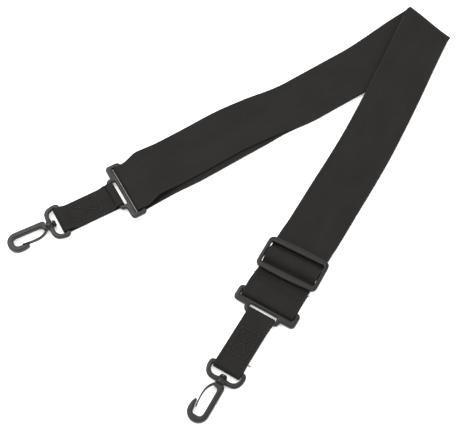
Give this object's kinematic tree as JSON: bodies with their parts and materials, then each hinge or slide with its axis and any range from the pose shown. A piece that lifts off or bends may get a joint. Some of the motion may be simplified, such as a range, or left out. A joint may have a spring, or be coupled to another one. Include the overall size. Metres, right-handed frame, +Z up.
{
  "type": "instrument strap",
  "caption": "Flat webbing strap folded in a V, doubled through a tri-glide slider and reducer loops, with a sewn narrow tab, swivel base and snap hook at each end.",
  "frame": {"origin": "middle of the strap's footprint, on the surface that it lies on", "axes": "+Z up from the surface the folded strap lies on; +X and +Y are the sides of its footprint, with the fold towards +X +Y, one hook towards -X and the other towards -Y"},
  "size_m": [0.4098, 0.4178, 0.0159],
  "materials": {
    "webbing": "woven matt black",
    "thread": "twisted, slightly glossy",
    "hardware": "satin black moulding"
  },
  "bodies": {
    "left_arm": {"webbing_left_lower_run": "webbing", "webbing_left_upper_run": "webbing", "webbing_left_bight": "webbing", "webbing_fold_outer": "webbing", "webbing_fold_inner": "webbing"},
    "right_arm": {"webbing_right_upper_run": "webbing", "webbing_right_lower_run": "webbing"},
    "slider": {"slider_frame": "hardware", "webbing_slider_end_loop": "webbing", "webbing_slider_crossover": "webbing", "slider_end_stitching": "thread"},
    "tail": {"webbing_tail_run": "webbing", "webbing_tail_fold_back": "webbing", "webbing_tail_bight": "webbing", "tail_stitching": "thread"},
    "left_reducer_loop": {"left_reducer": "hardware"},
    "left_sewn_tab": {"left_tab": "webbing", "left_tab_stitching": "thread"},
    "left_base": {"left_swivel_base": "hardware"},
    "left_snap": {"left_hook": "hardware"},
    "left_snap_gate": {"left_gate": "hardware"},
    "right_reducer_loop": {"right_reducer": "hardware"},
    "right_sewn_tab": {"right_tab": "webbing", "right_tab_stitching": "thread"},
    "right_base": {"right_swivel_base": "hardware"},
    "right_snap": {"right_hook": "hardware"},
    "right_snap_gate": {"right_gate": "hardware"}
  },
  "joints": [
    {"name": "fold_hinge", "type": "hinge", "parent": "left_arm", "child": "right_arm", "pos_m": [0.18171, 0.18729, 0.00795], "axis": [-0.7286, 0.6777, 0.0995], "range_deg": [0, 165], "deforming": ["webbing_fold_outer", "webbing_fold_inner"]},
    {"name": "slider_slide", "type": "slide", "parent": "right_arm", "child": "slider", "axis": [0.5052, 0.863, 0], "range_m": [0, 0.115], "deforming": ["webbing_right_upper_run", "webbing_right_lower_run"]},
    {"name": "tail_slide", "type": "slide", "parent": "slider", "child": "tail", "axis": [0.5052, 0.863, 0], "range_m": [-0.23, 0], "deforming": ["webbing_tail_run"]},
    {"name": "left_reducer_hinge", "type": "hinge", "parent": "left_arm", "child": "left_reducer_loop", "pos_m": [-0.09999, 0.00679, 0.0039], "axis": [0.4863, -0.8738, 0], "range_deg": [-90, 90]},
    {"name": "left_tab_hinge", "type": "hinge", "parent": "left_reducer_loop", "child": "left_sewn_tab", "pos_m": [-0.11441, -0.00123, 0.0039], "axis": [0.4863, -0.8738, 0], "range_deg": [-60, 60]},
    {"name": "left_base_hinge", "type": "hinge", "parent": "left_sewn_tab", "child": "left_base", "pos_m": [-0.15888, -0.02599, 0.0039], "axis": [0.4415, -0.8973, 0], "range_deg": [-60, 60]},
    {"name": "left_swivel", "type": "hinge", "parent": "left_base", "child": "left_snap", "pos_m": [-0.17037, -0.03164, 0.0039], "axis": [-0.8973, -0.4415, 0], "continuous": true},
    {"name": "left_gate_hinge", "type": "hinge", "parent": "left_snap", "child": "left_snap_gate", "pos_m": [-0.17225, -0.03824, 0.0039], "axis": [0, 0, -1], "range_deg": [0, 18], "stiffness_Nm_per_rad": 0.4},
    {"name": "right_reducer_hinge", "type": "hinge", "parent": "tail", "child": "right_reducer_loop", "pos_m": [0.02321, -0.10461, 0.0039], "axis": [0.8599, -0.5105, 0], "range_deg": [-90, 90]},
    {"name": "right_tab_hinge", "type": "hinge", "parent": "right_reducer_loop", "child": "right_sewn_tab", "pos_m": [0.01478, -0.11879, 0.0039], "axis": [0.8599, -0.5105, 0], "range_deg": [-60, 60]},
    {"name": "right_base_hinge", "type": "hinge", "parent": "right_sewn_tab", "child": "right_base", "pos_m": [-0.01207, -0.16402, 0.0039], "axis": [0.8746, -0.4848, 0], "range_deg": [-60, 60]},
    {"name": "right_swivel", "type": "hinge", "parent": "right_base", "child": "right_snap", "pos_m": [-0.01828, -0.17522, 0.0039], "axis": [-0.4848, -0.8746, 0], "continuous": true},
    {"name": "right_gate_hinge", "type": "hinge", "parent": "right_snap", "child": "right_snap_gate", "pos_m": [-0.02497, -0.17677, 0.0039], "axis": [0, 0, 1], "range_deg": [0, 18], "stiffness_Nm_per_rad": 0.4}
  ],
  "couplings": [
    {"joint": "tail_slide", "follows": "slider_slide", "ratio": -2}
  ]
}
